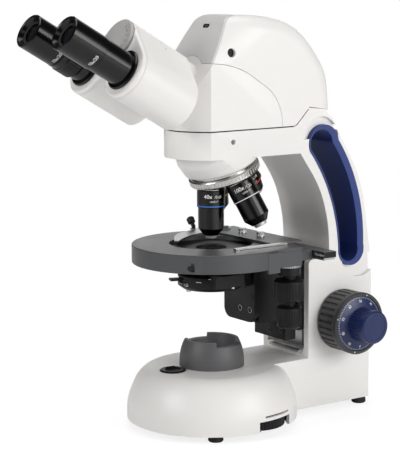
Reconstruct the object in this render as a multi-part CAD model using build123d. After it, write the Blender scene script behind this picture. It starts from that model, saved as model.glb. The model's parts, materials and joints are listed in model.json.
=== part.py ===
"""Digital microscope: binocular stand with a built-in camera housing, in millimetres.

The user sits at -Y and +X is the user's right hand. Everything is modelled about the optical axis
(x = 0, y = 0) and standing on z = 0, then moved by AXIS_Y, so that the origin of the written
pieces is under the middle of the whole microscope.
"""
from build123d import *
from math import asin, cos, hypot, radians, sin, tan
import os

# whole stand
AXIS_Y = 6.6             # the optical axis lies this far behind the middle of the microscope
SIDE = 32.2              # half width of the base box, column, arm and head
SEAM = 0.3               # gap drawn between two covers that meet
FIT = 0.05               # radial clearance of a running fit
SEAT = 0.02              # clearance of a piece seated in its hole

# base
FOOT_HEIGHT = 6.0
FOOT_R = 6.4
FRONT_FOOT = (52.0, -33.0)
REAR_FOOT = (25.0, 142.6)
BASE_R = 72.5            # round front of the base
BASE_TOP = 50.0          # top face of the base
BASE_TOP_R = 52.6        # where the dome runs into the flat top
BASE_SKIRT = 14.0        # height at which the upright rim starts to lean in
BASE_WALL = 3.0
PLATE_THICK = 2.0
STAND_REAR = 149.5       # rear face of the base and column

# lamp
LAMP_FOOT_R = 27.6
LAMP_TOP_R = 22.8
LAMP_HEIGHT = 23.0       # to the two high parts of its rim
LAMP_SIDE_DROP = 4.0     # the two sides of the rim are this much lower
LAMP_SIDE_ARC = 80.0     # angle taken by each low side
LAMP_TURN = 15.0         # the low sides are turned this far from the X axis
LAMP_WALL = 2.6
LAMP_LENS_R = 18.0
LAMP_LENS_DEPTH = 12.0   # of the lens rim below the top of the lamp house

# controls on the base
SWITCH_Y = -40.0
SWITCH_R = 11.0
SWITCH_HOLE_R = 8.6
SWITCH_TILT = 12.0       # the rocker stands this far over to one side
WHEEL_ANGLE = 14.5       # direction of the brightness wheel from +X towards +Y
WHEEL_R = 27.0
WHEEL_THICK = 8.0
WHEEL_GAP = 1.0          # the wheel stops this far inside the rim of the base
WHEEL_BOTTOM = 6.4
WHEEL_RIBS = 48
WHEEL_SHAFT_R = 3.0
INLET_WIDTH = 27.0
INLET_HEIGHT = 20.0
INLET_Z = 30.0

# column and arm
COLUMN_FRONT = 79.5
COLUMN_SHELF = 136.0     # top of the column's front box
ARM_FRONT = 101.9        # front face of the arm just above that shelf
HEAD_SEAM = 251.2        # top face of the arm, where the head sits
NOSE_BOTTOM = 228.5
NOSE_R = 39.0            # rounded nose of the arm, about the optical axis
SLOT_HALF = 25.6         # half width of the focusing slot in the column
SLOT_BOTTOM = 56.4
SLOT_DEPTH = 14.0
LEDGE_Z = (54.4, 56.2)    # sheet ledge over the foot of the slot
GRIP_WALL = 4.0          # mean thickness of the lining of the handle opening
GRIP_SHIFT = 2.8         # it is this much thicker at the rear, under the fingers, and thinner in front
GRIP_PROUD = 0.8

# nosepiece and objectives
SHOULDER_Z = 200.4       # where the upright objective meets the nosepiece
NOSE_TILT = 20.0
NOSE_PITCH_R = 17.4      # from the nosepiece axis to each objective
RING_R = 30.6
NOSE_RIBS = 60
RING_TOP = 11.3          # top of the turning ring above the shoulder plane, along its axis
THREAD_R = 8.0
THREAD_LENGTH = 4.4
BARREL_R = 11.8          # upper barrel of an objective
# name: (turn about the nosepiece axis, length, lower barrel radius, length of the upper barrel, tip radius)
OBJECTIVES = {
    "objective_40": (0.0, 41.4, 10.9, 15.0, 4.6),
    "objective_100": (90.0, 40.5, 11.2, 15.0, 5.2),
    "objective_4": (180.0, 23.5, 9.6, 12.0, 6.4),
    "objective_10": (270.0, 34.0, 10.4, 13.5, 5.0),
}
TIP_LENGTH = 2.6         # bright metal tip below the black barrel

# head
TUBE_TILT = 30.0         # the eyepiece tubes look down by this angle
HINGE_Y = -37.55         # end of the hinge axis at the rear of the prism housings
HINGE_Z = 296.08
HOUSING_LENGTH = 60.0
HUB_R = 13.0
KNUCKLE_R = 18.9
TUBE_DROP = 24.8         # the tubes lie this far below the hinge axis
EYE_SPACING = 55.4       # between the eyepieces, closed
HOUSING_R = 22.5         # of a prism housing round its tube
COLLAR_R = 17.0
COLLAR_THICK = 2.5
TUBE_R = 14.0
EYEPIECE_R = 14.6
EYEPIECE_END = HOUSING_LENGTH + 62.0  # of the eyepiece rim from the rear of the housings
EYEPIECE_LENGTH = 32.5
EYE_LENS_R = 10.6
DIOPTER_LENGTH = 20.6
DIOPTER_R = 15.7
HEAD_TOP = 345.4
SHADOW_GAP = (0.7, 3.0)  # height and depth of the open line under the head
HOUSING_SCREW = (-0.8, 315.2)  # (y, z) of the sunk screw in the right side of the camera housing
SINK_R = 3.7             # of the round recess in which that screw lies
PORT = (-1.0, 336.5)     # (x, z) of the small port in the front cover
PORT_SIZE = (9.0, 3.8, 0.9)  # width, height and depth
CAP_LINE = 4.0           # groove of the prism housings behind their front face
HEAD_ROUND = 14.0        # rounding along the top and back edges of the camera housing
FRONT_BACK = 9.4         # the slanted front of the head lies this far behind the prism housings
FRONT_ROUND = 14.0       # where the slanted front runs into the top
NARROW_R = 141.0         # the sides of the camera housing draw in along this radius
NARROW_SLOPE = 1.51      # and that drawing in moves back by this much per rise
COVER_THICK = 1.5
COVER_GAP = 0.1
NECK_R = 17.5            # neck between the head and the prism housings
FLANGE_R = 24.0          # raised round the neck, where the front cover ends

# stage
STAGE_TOP = 155.0
STAGE_THICK = 15.5
STAGE_R = 67.1
STAGE_HOLE_R = 35.6
STAGE_REAR = 42.5        # straight rear edge, clear of the cross bar
INSERT_DROP = 3.0        # the black insert lies this far below the top of the stage
LIGHT_HOLE_R = 13.0
RIM_LINE_Z = STAGE_TOP - 7.0  # seam round the left of the stage rim
RIM_LINE_DEPTH = 0.5
NOTCH_TURN = -48.0       # the seam ends in a notch in this direction
CARRIAGE_X = (38.0, 64.0)
CARRIAGE_Y = (24.0, 47.0)
CARRIAGE_TRAVEL = 18.0   # forward, from the place in the photo
COVER_LAYER = 2.5        # thin top layer of the stage over the carriage
BAR_Y = (61.0, 73.6)
BAR_X = (-52.0, 76.0)
BAR_TOP = STAGE_TOP - 4.4
BAR_THICK = 5.2
HOLDER_Y = (31.0, 62.6)
HOLDER_X = (-54.0, 48.0)
HOLDER_THICK = 1.5
FINGER_PIVOT = (-43.0, 45.8)
FINGER_KNOB = (-58.0, 22.0)
FINGER_KNOB_LEAN = 40.0  # the knob leans out to the left
CLAMP_SCREWS = (-17.5, 8.5)
CLAMP_SCREW_Y = 45.5
FINGER_THICK = 1.2
TONGUE_REACH = 4.7       # guide of the carriage in the side of the stage
TONGUE_Y = (34.0, 58.0)
TONGUE_Z = (STAGE_TOP - 10.0, STAGE_TOP - 6.0)

# coaxial stage knobs, hanging from the carriage
KNOB_X = 50.6
KNOB_Y = 44.0
Y_KNOB = (12.6, STAGE_TOP - 46.5, STAGE_TOP - 28.6)  # radius, bottom, top
X_KNOB = (10.3, STAGE_TOP - 69.6, STAGE_TOP - 51.4)
SHAFT_R = 2.5

# substage
CONDENSER_R = 28.4
CONDENSER_TOP = STAGE_TOP - 19.0
CONDENSER_BOTTOM = CONDENSER_TOP - 19.0
CONDENSER_LENS_R = 12.5
CARRIER_Z = (STAGE_TOP - 70.0, STAGE_TOP - 21.0)
CARRIER_FRONT = 29.0     # front face of the carrier's upright plate
CARRIER_THICK = 5.0
CARRIER_ROUND = 9.0      # its lower corners
RAILS_X = (9.0, 14.0)    # two rails on the bracket guide the condenser carrier
RAIL_FRONT = CARRIER_FRONT + 2.5
IRIS_R = 24.0            # inner radius of the iris ring
IRIS_Z = (CONDENSER_BOTTOM + 6.0, CONDENSER_BOTTOM + 10.0)
IRIS_TURN = -111.0       # direction of the iris lever
IRIS_SWING = 20.0        # to each side
IRIS_WALL = 1.6          # wall of the condenser outside the ring
BRACKET_HALF = 22.0
BRACKET_FRONT = CARRIER_FRONT + CARRIER_THICK + FIT
BRACKET_STEP = 62.0      # its foot is set back to here
BRACKET_FOOT = 18.5      # height of that foot
SLIDE_FRONT = 73.5       # front face of the focusing slide, where the bracket is screwed on
LIFT_KNOB = (43.0, STAGE_TOP - 42.5)  # (y, z) of the condenser height knob
LIFT_KNOB_R = 10.5

# focusing knobs
FOCUS_Y = 114.8
FOCUS_Z = 80.6
COARSE_R = 27.0
COARSE_FACE = 58.4       # outer face of a coarse knob, from the middle
FINE_FACE = 79.3
FINE_R = 14.2
DIAL_R = 23.6
COARSE_TUBE_R = 7.0
FINE_SHAFT_R = 4.0
COARSE_RIBS = 30

tube_half = EYE_SPACING / 2
nodes = {}


def put(name, shape):
    """Keeps a finished piece under its node name, moved to the frame of the microscope."""
    nodes[name] = Pos(0, AXIS_Y, 0) * shape


def cylinder(radius, low, high, x=0.0, y=0.0):
    """An upright cylinder from one height to another."""
    return Pos(x, y, low) * Cylinder(radius, high - low, align=(Align.CENTER, Align.CENTER, Align.MIN))


def block(x, y, z):
    """A box between pairs of limits."""
    size = [pair[1] - pair[0] for pair in (x, y, z)]
    return Pos(x[0], y[0], z[0]) * Box(*size, align=(Align.MIN, Align.MIN, Align.MIN))


def turned(*points):
    """Revolves a closed outline of (radius, height) points about Z."""
    return revolve(Plane.XZ * make_face(Polyline(*points, close=True)), Axis.Z)


def side_plate(outline, half_width):
    """A closed outline in (y, z) made as thick as the stand, evenly to both sides."""
    return Pos(-half_width, 0, 0) * extrude(Plane.YZ * outline, 2 * half_width)


def along_x(shape):
    """Turns a shape made about Z so that it lies along +X."""
    return Rot(Y=90) * shape


def ribs(count, radius, rib_radius, low, high):
    """Round bars set evenly on a circle, used to groove or rib a knob."""
    bar = cylinder(rib_radius, low, high, x=radius)
    return [Rot(Z=360 * k / count) * bar for k in range(count)]


def both_sides(shape):
    """A shape together with its mirror image across the middle plane."""
    return shape + mirror(shape, Plane.YZ)


def solids_of(*shapes):
    """Separate solids gathered in one node."""
    return Compound([s for shape in shapes for s in shape.solids()])


def wedge(turn, span, low, high):
    """A slice of pie about Z, centred on one direction."""
    reach = 60.0
    x, y = reach * cos(radians(span / 2)), reach * sin(radians(span / 2))
    face = make_face(Polyline((0, 0), (x, -y), (x, y), close=True))
    return Rot(Z=turn) * extrude(Pos(0, 0, low) * face, high - low)


# Base

def base_form(inset, bottom, top):
    """The round front with its dome, run together with the box under the column."""
    r = BASE_R - inset
    dome_r = BASE_TOP_R - inset * 0.5
    height = top - BASE_SKIRT
    rim = Polyline((0, top), (0, bottom), (r, bottom), (r, BASE_SKIRT))
    shoulder = (dome_r + (r - dome_r) * 0.79, BASE_SKIRT + height * 0.5)
    dome = Spline((r, BASE_SKIRT), shoulder, (dome_r, top), tangents=[(0, 1), (-1, 0.35)])
    face = make_face(rim + dome + Line((dome_r, top), (0, top)))
    front = revolve(Plane.XZ * face, Axis.Z)
    half = SIDE - inset
    box = block((-half, half), (0, STAND_REAR - inset), (bottom, top))
    box = fillet(box.edges().filter_by(Axis.Z).group_by(Axis.Y)[-1], max(3.0 - inset, 0.6))
    return front + box


def wheel_centre():
    reach = BASE_R - WHEEL_GAP - WHEEL_R
    return reach * cos(radians(WHEEL_ANGLE)), reach * sin(radians(WHEEL_ANGLE))


def base():
    shell = base_form(0, FOOT_HEIGHT, BASE_TOP)
    shell -= base_form(BASE_WALL, FOOT_HEIGHT - 1, BASE_TOP - BASE_WALL)
    shell -= cylinder(LAMP_LENS_R, BASE_TOP - BASE_WALL - 1, BASE_TOP + 1)
    shell -= cylinder(SWITCH_HOLE_R, BASE_TOP - BASE_WALL - 1, BASE_TOP + 1, y=SWITCH_Y)
    x, y = wheel_centre()
    window_top = WHEEL_BOTTOM + WHEEL_THICK + 0.6
    window = Pos(BASE_R, -2, (FOOT_HEIGHT - 1 + window_top) / 2) * Box(24, 38, window_top - FOOT_HEIGHT + 1)
    slit = Pos(BASE_R, 0, window_top + 3.4) * Box(24, 30, 1.6)
    shell -= Rot(Z=WHEEL_ANGLE) * (window + slit)
    shell -= block((-INLET_WIDTH / 2, INLET_WIDTH / 2), (STAND_REAR - BASE_WALL - 1, STAND_REAR + 1),
                   (INLET_Z - INLET_HEIGHT / 2, INLET_Z + INLET_HEIGHT / 2))
    put("base_shell", shell)

    plate = base_form(BASE_WALL + SEAT, FOOT_HEIGHT, BASE_TOP)
    plate &= block((-BASE_R, BASE_R), (-BASE_R, STAND_REAR), (FOOT_HEIGHT, FOOT_HEIGHT + PLATE_THICK))
    plate -= cylinder(WHEEL_R + 1.5, FOOT_HEIGHT - 1, FOOT_HEIGHT + PLATE_THICK + 1, x, y)
    put("base_plate", plate)

    foot = turned((0, 0), (FOOT_R - 1, 0), (FOOT_R, 1), (FOOT_R - 0.5, FOOT_HEIGHT), (0, FOOT_HEIGHT))
    places = [(sx * fx, fy) for fx, fy in (FRONT_FOOT, REAR_FOOT) for sx in (-1, 1)]
    put("rubber_feet", solids_of(*[Pos(fx, fy, 0) * foot for fx, fy in places]))

    inlet = block((-INLET_WIDTH / 2 + SEAT, INLET_WIDTH / 2 - SEAT), (STAND_REAR - 22, STAND_REAR + 1),
                  (INLET_Z - INLET_HEIGHT / 2 + SEAT, INLET_Z + INLET_HEIGHT / 2 - SEAT))
    inlet -= block((-10, 10), (STAND_REAR - 14, STAND_REAR + 2), (INLET_Z - 6.5, INLET_Z + 6.5))
    pin = block((-1, 1), (STAND_REAR - 14, STAND_REAR - 3), (INLET_Z - 2.5, INLET_Z + 2.5))
    put("power_inlet", inlet + Pos(-6, 0, 0) * pin + pin + Pos(6, 0, 0) * pin)


def power_switch():
    rim = BASE_TOP
    bezel = turned((SWITCH_HOLE_R - 2, rim), (SWITCH_R, rim), (SWITCH_R, rim + 0.8), (SWITCH_R - 1.2, rim + 1.6),
                   (SWITCH_HOLE_R - 2, rim + 1.2))
    bezel += turned((SWITCH_HOLE_R - 2, rim - 9), (SWITCH_HOLE_R - SEAT, rim - 9), (SWITCH_HOLE_R - SEAT, rim),
                    (SWITCH_HOLE_R - 2, rim))
    bezel += cylinder(SWITCH_HOLE_R - 1.9, rim - 10.5, rim - 9)
    put("switch_bezel", Pos(0, SWITCH_Y, 0) * bezel)

    cup = cylinder(SWITCH_HOLE_R - 2.2, -4, 3.2) & Box(9.6, 20, 20) & Sphere(SWITCH_HOLE_R - 2.1)
    rocker = cup - Pos(0, 0, 8.4) * Rot(X=90) * Cylinder(8.0, 30)
    put("switch_rocker", Pos(0, SWITCH_Y, rim) * Rot(Y=SWITCH_TILT) * rocker)


def brightness_control():
    """The ribbed wheel and its shaft, which turns in a control on the circuit board."""
    x, y = wheel_centre()
    top = WHEEL_BOTTOM + WHEEL_THICK
    wheel = cylinder(WHEEL_R, WHEEL_BOTTOM, top)
    wheel = chamfer(wheel.edges().filter_by(GeomType.CIRCLE), 0.6)
    wheel -= ribs(WHEEL_RIBS, WHEEL_R + 0.3, 0.8, WHEEL_BOTTOM - 1, top + 1)
    wheel += cylinder(WHEEL_SHAFT_R, top, top + 5.6)
    put("brightness_wheel", Pos(x, y, 0) * wheel)


def dimmer():
    """The control over the wheel, on a small board with two posts."""
    x, y = wheel_centre()
    top = WHEEL_BOTTOM + WHEEL_THICK
    bore = WHEEL_SHAFT_R + FIT
    body = turned((0, top + 5.6 + FIT), (bore, top + 5.6 + FIT), (bore, top + FIT), (bore + 3, top + FIT),
                  (bore + 3, top + 3.6), (8, top + 3.6), (8, top + 9.6), (0, top + 9.6))
    body += block((-36, 10), (-10, 10), (top + 9.6, top + 11.2))
    for side in (-7, 7):
        body += cylinder(2.5, FOOT_HEIGHT + PLATE_THICK, top + 9.6, -33, side)
    return Pos(x, y, 0) * Rot(Z=WHEEL_ANGLE) * body


def lamp():
    low, top = BASE_TOP, BASE_TOP + LAMP_HEIGHT
    outer = Spline((LAMP_FOOT_R, low + 3), (LAMP_FOOT_R - 1.4, low + 0.62 * LAMP_HEIGHT), (LAMP_TOP_R, top),
                   tangents=[(0, 1), (-0.5, 1)])
    inner_top = LAMP_TOP_R - LAMP_WALL
    lens_z = top - LAMP_LENS_DEPTH
    rest = Polyline((LAMP_TOP_R, top), (inner_top, top), (LAMP_LENS_R + 0.4, lens_z), (LAMP_LENS_R + 0.4, lens_z - 3),
                    (LAMP_LENS_R - 3, lens_z - 3), (LAMP_LENS_R - 3, low), (LAMP_FOOT_R, low), (LAMP_FOOT_R, low + 3))
    house = revolve(Plane.XZ * make_face(outer + rest), Axis.Z)
    for turn in (LAMP_TURN, LAMP_TURN + 180):
        house -= wedge(turn, LAMP_SIDE_ARC, top - LAMP_SIDE_DROP, top + 1)
    put("lamp_house", house)

    lens = turned((0, lens_z - 3), (LAMP_LENS_R, lens_z - 3), (LAMP_LENS_R, lens_z - 1), (0, lens_z - 1))
    cap_r = 40.0
    cap = Pos(0, 0, lens_z + 2.5 - cap_r) * Sphere(cap_r)
    cap &= cylinder(LAMP_LENS_R - 2, lens_z - 2, lens_z + 3)
    put("lamp_lens", lens + cap)

    sink = cylinder(LAMP_LENS_R - 4, BASE_TOP - 6, BASE_TOP - 1)
    post = block((-4, 4), (-4, 4), (FOOT_HEIGHT + PLATE_THICK, BASE_TOP - 6))
    emitter = cylinder(5, BASE_TOP - 1, BASE_TOP + 1)
    put("lamp_module", sink + post + emitter)
    board_z = FOOT_HEIGHT + PLATE_THICK
    board = block((-22, 22), (66, 122), (board_z + 4, board_z + 5.6))
    for sx in (-18, 18):
        for sy in (70, 118):
            board += cylinder(2.5, board_z, board_z + 4, sx, sy)
    board += block((-16, 4), (80, 104), (board_z + 5.6, board_z + 20))
    put("power_board", solids_of(board, dimmer()))


# Column and arm

def handle_outline(inset=0.0):
    """The long bent opening behind the arm: two gentle arcs joined by round ends."""
    top_front, top_rear = (80.5, 229.0), (111.0, 237.5)
    low_front, low_rear = (112.1, 140.0), (139.5, 145.0)
    wire = (ThreePointArc(top_front, (101.9, 191.0), low_front) + ThreePointArc(low_front, (124.5, 127.0), low_rear)
            + ThreePointArc(low_rear, (132.4, 195.0), top_rear) + ThreePointArc(top_rear, (92.0, 251.2), top_front))
    face = make_face(wire)
    return offset(face, -inset) if inset else face


def arm_outline():
    """Side view of column, arm and nose, in (y, z)."""
    front = (Line((COLUMN_FRONT, BASE_TOP), (COLUMN_FRONT, COLUMN_SHELF - 4))
             + ThreePointArc((COLUMN_FRONT, COLUMN_SHELF - 4), (COLUMN_FRONT + 1.2, COLUMN_SHELF - 1.2),
                             (COLUMN_FRONT + 4, COLUMN_SHELF))
             + Line((COLUMN_FRONT + 4, COLUMN_SHELF), (ARM_FRONT, COLUMN_SHELF)))
    throat = Spline((ARM_FRONT, COLUMN_SHELF), (100.4, 164.5), (89.1, 200.1), (70.1, NOSE_BOTTOM),
                    tangents=[(0, 1), (-0.6, 0.9)])
    nose = Polyline((70.1, NOSE_BOTTOM), (-NOSE_R, NOSE_BOTTOM), (-NOSE_R, HEAD_SEAM), (63.0, HEAD_SEAM),
                    (66.5, 252.6), (79.4, 265.6), (98.0, 262.6), (104.8, 256.9))
    back = Spline((104.8, 256.9), (124.4, 223.4), (138.3, 191.9), (145.0, 154.2), (149.5, 112.0),
                  tangents=[(0.4, -1), (0, -1)])
    foot = Polyline((149.5, 112.0), (STAND_REAR, BASE_TOP), (COLUMN_FRONT, BASE_TOP))
    return make_face(front + throat + nose + back + foot)


def stand_plan(half, nose_r):
    """The stand from above: a strip with a nose rounded about the optical axis."""
    nose = Circle(nose_r) & Rectangle(2 * half, 2 * nose_r)
    return nose + Pos(0, STAND_REAR / 2) * Rectangle(2 * half, STAND_REAR)


def nose_frame():
    """The nosepiece's own frame: z up along its tilted axis, shoulder plane at z = 0."""
    rise = NOSE_PITCH_R * sin(radians(NOSE_TILT))
    back = NOSE_PITCH_R * cos(radians(NOSE_TILT))
    return Pos(0, back, SHOULDER_Z + rise) * Rot(X=NOSE_TILT)


def arm():
    body = side_plate(arm_outline(), SIDE)
    body &= extrude(Pos(0, 0, BASE_TOP) * stand_plan(SIDE, NOSE_R), 300)
    low = RING_TOP + 2
    boss = turned((0, low), (RING_R - 2, low), (RING_R + 1.5, low + 2.2), (RING_R + 5, low + 13),
                  (RING_R + 5, low + 27), (0, low + 27))
    boss = nose_frame() * boss
    boss &= extrude(Pos(0, 0, BASE_TOP) * stand_plan(SIDE, NOSE_R - 2), 300)
    boss &= block((-60, 60), (-60, 90), (150, HEAD_SEAM - 8))
    body += boss
    body -= side_plate(handle_outline(), SIDE + 1)
    for centre, radius in (((92.5, 240.0), 18.5), ((136.0, 136.5), 20.5)):
        scoop = Pos(SIDE, *centre) * along_x(Cylinder(radius, 7.0))
        body -= both_sides(scoop & finger_zone(centre))
    slot_back = COLUMN_FRONT + SLOT_DEPTH
    body -= block((-SLOT_HALF, SLOT_HALF), (COLUMN_FRONT - 1, slot_back), (SLOT_BOTTOM, COLUMN_SHELF + 1))
    body -= Pos(0, FOCUS_Y, FOCUS_Z) * along_x(Cylinder(COARSE_TUBE_R + FIT, 2 * SIDE + 2))
    body -= Pos(SIDE, 0, 242.4) * along_x(Cylinder(2.1, 24))
    put("arm", body)


def finger_zone(centre):
    """Keeps a thumb scoop to the end of the handle opening, clear of the long grip."""
    y, z = centre
    if z > 200:
        return block((0, 60), (y - 30, y + 30), (z, z + 30))
    return block((0, 60), (y - 30, y + 30), (z - 30, z))


def handle_lining():
    inner = Pos(-GRIP_SHIFT, 0) * handle_outline(GRIP_WALL)
    lining = side_plate(handle_outline(SEAT), SIDE + GRIP_PROUD) - side_plate(inner, SIDE + 2)
    put("handle_lining", lining)


def column_details():
    slot_back = COLUMN_FRONT + SLOT_DEPTH
    rail = block((-9, 9), (slot_back - 6, slot_back), (SLOT_BOTTOM, COLUMN_SHELF - 3))
    rail += block((-13, 13), (slot_back - 6, slot_back - 3), (SLOT_BOTTOM, COLUMN_SHELF - 3))
    ledge = block((-17, 24), (COLUMN_FRONT - 5, COLUMN_FRONT - SEAT), LEDGE_Z)
    put("focus_rail", solids_of(rail, ledge))
    screw = cylinder(2.1 - SEAT, 0, 6) - cylinder(1.0, 3, 7)
    clamp = Pos(SIDE - 11.5, 0, 242.4) * along_x(screw)
    sunk = cylinder(SINK_R - SEAT, SIDE - 6, SIDE - 3.4) - cylinder(1.5, SIDE - 5, SIDE - 3)
    sunk = Pos(0, *HOUSING_SCREW) * along_x(sunk)
    put("head_clamp_screw", solids_of(clamp, sunk, mirror(sunk, Plane.YZ)))


# Focusing knobs

def coarse_knob(side):
    face = COARSE_FACE
    knob = turned((COARSE_TUBE_R - SEAT, SIDE + 0.6), (COARSE_R - 1.6, SIDE + 0.6), (COARSE_R - 0.4, SIDE + 1.8),
                  (COARSE_R - 0.4, face - 4.5), (COARSE_R, face - 3.5), (COARSE_R, face - 1.0), (COARSE_R - 1.0, face),
                  (DIAL_R + 0.4, face), (DIAL_R + 0.4, face - 3.0), (COARSE_TUBE_R - SEAT, face - 3.0))
    knob -= ribs(COARSE_RIBS, COARSE_R - 0.4, 1.1, SIDE + 3.6, face - 6.0)
    return Rot(Y=90 * side) * knob


def fine_knob(side):
    seat = COARSE_FACE - 3.0 + FIT
    knob = turned((FINE_SHAFT_R - SEAT, seat), (DIAL_R, seat), (DIAL_R, seat + 2.2), (DIAL_R - 6.4, seat + 4.6),
                  (FINE_R + 0.6, seat + 4.8), (FINE_R + 0.2, FINE_FACE - 6), (FINE_R, FINE_FACE - 1.2),
                  (FINE_R - 1.2, FINE_FACE), (FINE_R - 3.4, FINE_FACE), (FINE_R - 3.8, FINE_FACE - 0.5),
                  (0, FINE_FACE - 0.5), (0, FINE_FACE - 4), (FINE_SHAFT_R - SEAT, FINE_FACE - 4))
    knob -= ribs(32, FINE_R + 0.9, 0.9, seat + 6.0, FINE_FACE - 6.0)
    return Rot(Y=90 * side) * knob


def focus_knobs():
    centre = Pos(0, FOCUS_Y, FOCUS_Z)
    for name, side in (("right", 1), ("left", -1)):
        put("coarse_knob_" + name, centre * coarse_knob(side))
        put("fine_knob_" + name, centre * fine_knob(side))
    half = COARSE_FACE - 3.0
    tube = Cylinder(COARSE_TUBE_R - SEAT, 2 * half) - Cylinder(FINE_SHAFT_R + FIT, 2 * half + 2)
    put("coarse_tube", centre * along_x(tube))
    shaft = Cylinder(FINE_SHAFT_R - SEAT, 2 * (FINE_FACE - 4))
    put("fine_shaft", centre * along_x(shaft))


# Nosepiece and objectives

def nosepiece():
    frame = nose_frame()
    seat = cylinder(RING_R - 3, RING_TOP + FIT, RING_TOP + 2)
    put("nosepiece_seat", frame * seat)
    ring = ring_body()
    for turn, _, _, _, _ in OBJECTIVES.values():
        place = Rot(Z=turn) * Pos(0, -NOSE_PITCH_R, 0) * Rot(X=-NOSE_TILT)
        ring += place * cylinder(BARREL_R - 0.4, 0, THREAD_LENGTH)
        ring -= place * cylinder(THREAD_R + SEAT, -8, THREAD_LENGTH + SEAT)
    put("nosepiece_ring", frame * ring)


def ring_body():
    """The turning part: a ribbed rim over a shallow cone that carries the objectives square."""
    slope = tan(radians(NOSE_TILT))
    edge = RING_R - 2.4
    low = (edge - NOSE_PITCH_R) * slope
    body = turned((0, -NOSE_PITCH_R * slope), (edge, low), (RING_R - 0.6, low + 1.0), (RING_R, low + 1.8),
                  (RING_R, RING_TOP - 1), (RING_R - 1, RING_TOP), (0, RING_TOP))
    return body - ribs(NOSE_RIBS, RING_R + 0.5, 0.9, low + 2.6, RING_TOP - 1.6)


def objective(length, lower_r, upper_length, tip_r):
    """One objective, hanging from its shoulder at z = 0."""
    tip = length - TIP_LENGTH
    taper = 6.0
    barrel = turned((0, 0), (BARREL_R - 0.8, 0), (BARREL_R, -0.8), (BARREL_R, -upper_length + 0.4),
                    (BARREL_R - 0.4, -upper_length), (lower_r, -upper_length), (lower_r, -(tip - taper)),
                    (tip_r + 1.6, -tip), (0, -tip))
    thread = cylinder(THREAD_R, 0, THREAD_LENGTH)
    front = turned((0, -tip), (tip_r + 0.8, -tip), (tip_r, -length + 0.4), (tip_r - 0.4, -length),
                   (1.6, -length), (1.2, -length + 0.5), (0, -length + 0.5))
    return barrel + thread, front


def objectives():
    frame = nose_frame()
    tips = []
    for name, (turn, length, lower_r, upper_length, tip_r) in OBJECTIVES.items():
        place = frame * Rot(Z=turn) * Pos(0, -NOSE_PITCH_R, 0) * Rot(X=-NOSE_TILT)
        barrel, front = objective(length, lower_r, upper_length, tip_r)
        put(name, place * barrel)
        tips.append(place * front)
    put("objective_tips", solids_of(*tips))


# Binocular head, in its own frame: z towards the user along the tubes, origin on the hinge axis

def head_frame():
    return Pos(0, HINGE_Y, HINGE_Z) * Rot(X=90 - TUBE_TILT)


def link_face(end, end_r, start_r):
    """The hull of a circle at the origin and a larger one at the end point."""
    x, y = end
    reach = hypot(x, y)
    lean = asin((end_r - start_r) / reach)
    ux, uy = x / reach, y / reach
    corners = []
    for radius, (cx, cy), flip in ((start_r, (0, 0), 1), (end_r, end, 1), (end_r, end, -1), (start_r, (0, 0), -1)):
        along, across = -radius * sin(lean), flip * radius * cos(lean)
        corners.append((cx + along * ux - across * uy, cy + along * uy + across * ux))
    return Circle(start_r) + Pos(x, y) * Circle(end_r) + make_face(Polyline(*corners, close=True))


def prism_housing():
    """Right housing with its knuckle at the front; the left one is its mirror, knuckle at the rear."""
    form = extrude(link_face((tube_half, -TUBE_DROP), HOUSING_R, KNUCKLE_R), HOUSING_LENGTH)
    form = fillet(form.edges().filter_by_position(Axis.Z, HOUSING_LENGTH - 0.1, HOUSING_LENGTH + 0.1), 2.0)
    form = chamfer(form.edges().filter_by_position(Axis.Z, -0.1, 0.1), 1.2)
    return form


def housing_pair():
    middle = HOUSING_LENGTH / 2
    gap = SEAM / 2
    form = prism_housing()
    bore = cylinder(HUB_R + FIT, -1, HOUSING_LENGTH + 1)
    tube_hole = cylinder(TUBE_R - 2, HOUSING_LENGTH - 20, HOUSING_LENGTH + 1, tube_half, -TUBE_DROP)
    knuckle = cylinder(KNUCKLE_R, middle + gap, HOUSING_LENGTH - 0.4)
    rear_knuckle = cylinder(KNUCKLE_R, 0.4, middle - gap)
    side = form & block((gap, 80), (-80, 80), (-1, HOUSING_LENGTH + 1))
    side -= cylinder(KNUCKLE_R + SEAM, -1, HOUSING_LENGTH + 1)
    link = block((0, KNUCKLE_R + 4), (-KNUCKLE_R - 4, 0), (0, HOUSING_LENGTH)) & form
    link -= block((-1, gap), (-80, 80), (-1, HOUSING_LENGTH + 1))
    front_link = link & block((0, 80), (-80, 80), (middle + gap, HOUSING_LENGTH))
    rear_link = link & block((0, 80), (-80, 80), (0, middle - gap))
    line = cap_line()
    right = side + knuckle + front_link - bore - tube_hole - line
    left = mirror(side + rear_knuckle + rear_link - bore - tube_hole - line, Plane.YZ)
    return right, left


def cap_line():
    """The fine groove that sets off the front cap of a prism housing."""
    place = HOUSING_LENGTH - CAP_LINE
    outer = link_face((tube_half, -TUBE_DROP), HOUSING_R + 1, KNUCKLE_R + 1)
    inner = link_face((tube_half, -TUBE_DROP), HOUSING_R - 0.4, KNUCKLE_R - 0.4)
    groove = extrude(Pos(0, 0, place) * (outer - inner), 0.5)
    return groove & block((KNUCKLE_R * 0.5, 80), (-80, 80), (place - 1, place + 1))


def eyepiece(length):
    """Barrel with a cupped rim, and the lens behind it; the top of the rim is at z = 0."""
    barrel = turned((EYE_LENS_R, -6.5), (EYE_LENS_R, -4.2), (EYEPIECE_R - 2.2, -0.4), (EYEPIECE_R - 1.4, 0),
                    (EYEPIECE_R - 0.6, 0), (EYEPIECE_R, -0.8), (EYEPIECE_R, -length + 0.6),
                    (EYEPIECE_R - 0.6, -length), (0, -length), (0, -length + 4), (EYE_LENS_R - 2, -length + 4),
                    (EYE_LENS_R - 2, -6.5))
    lens = cylinder(EYE_LENS_R - SEAT, -6.5, -5.2)
    lens += Pos(0, 0, -4.0 - 30.0) * Sphere(30.0) & cylinder(EYE_LENS_R - 1, -6, -3)
    return barrel, lens


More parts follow.
